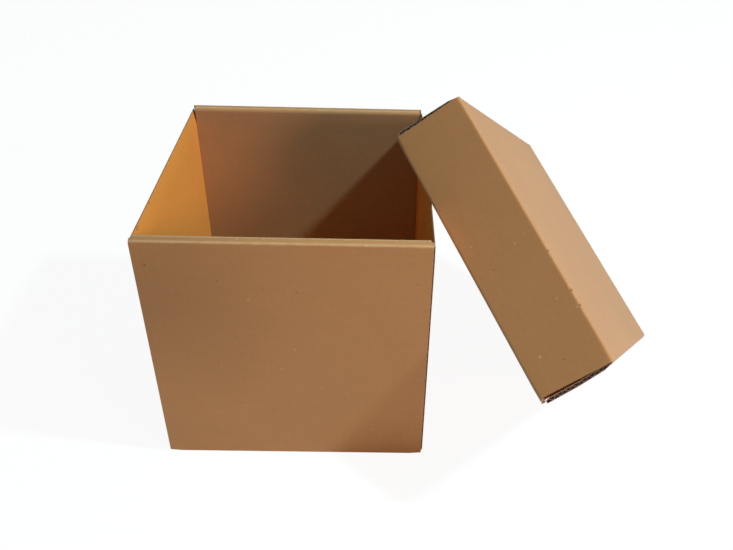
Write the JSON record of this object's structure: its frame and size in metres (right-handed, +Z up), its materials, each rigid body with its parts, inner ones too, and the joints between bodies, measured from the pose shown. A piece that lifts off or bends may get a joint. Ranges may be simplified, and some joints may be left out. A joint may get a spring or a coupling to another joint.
{
  "type": "cardboard box with lift-off lid",
  "caption": "Square corrugated cardboard box, a deep open base with rolled walls and a shallow lift-off lid that leans on it on one corner.",
  "frame": {"origin": "centre of the base's underside, on the surface that it stands on", "axes": "+Z up, +X from the base's left wall to the right one on which the lid leans, +Y from the front rolled wall to the back one"},
  "size_m": [0.4129, 0.3122, 0.2764],
  "materials": {
    "kraft_base": "matte",
    "kraft_lid": "matte"
  },
  "bodies": {
    "root": {"box_base": "kraft_base", "box_lid": "kraft_lid"}
  },
  "joints": []
}
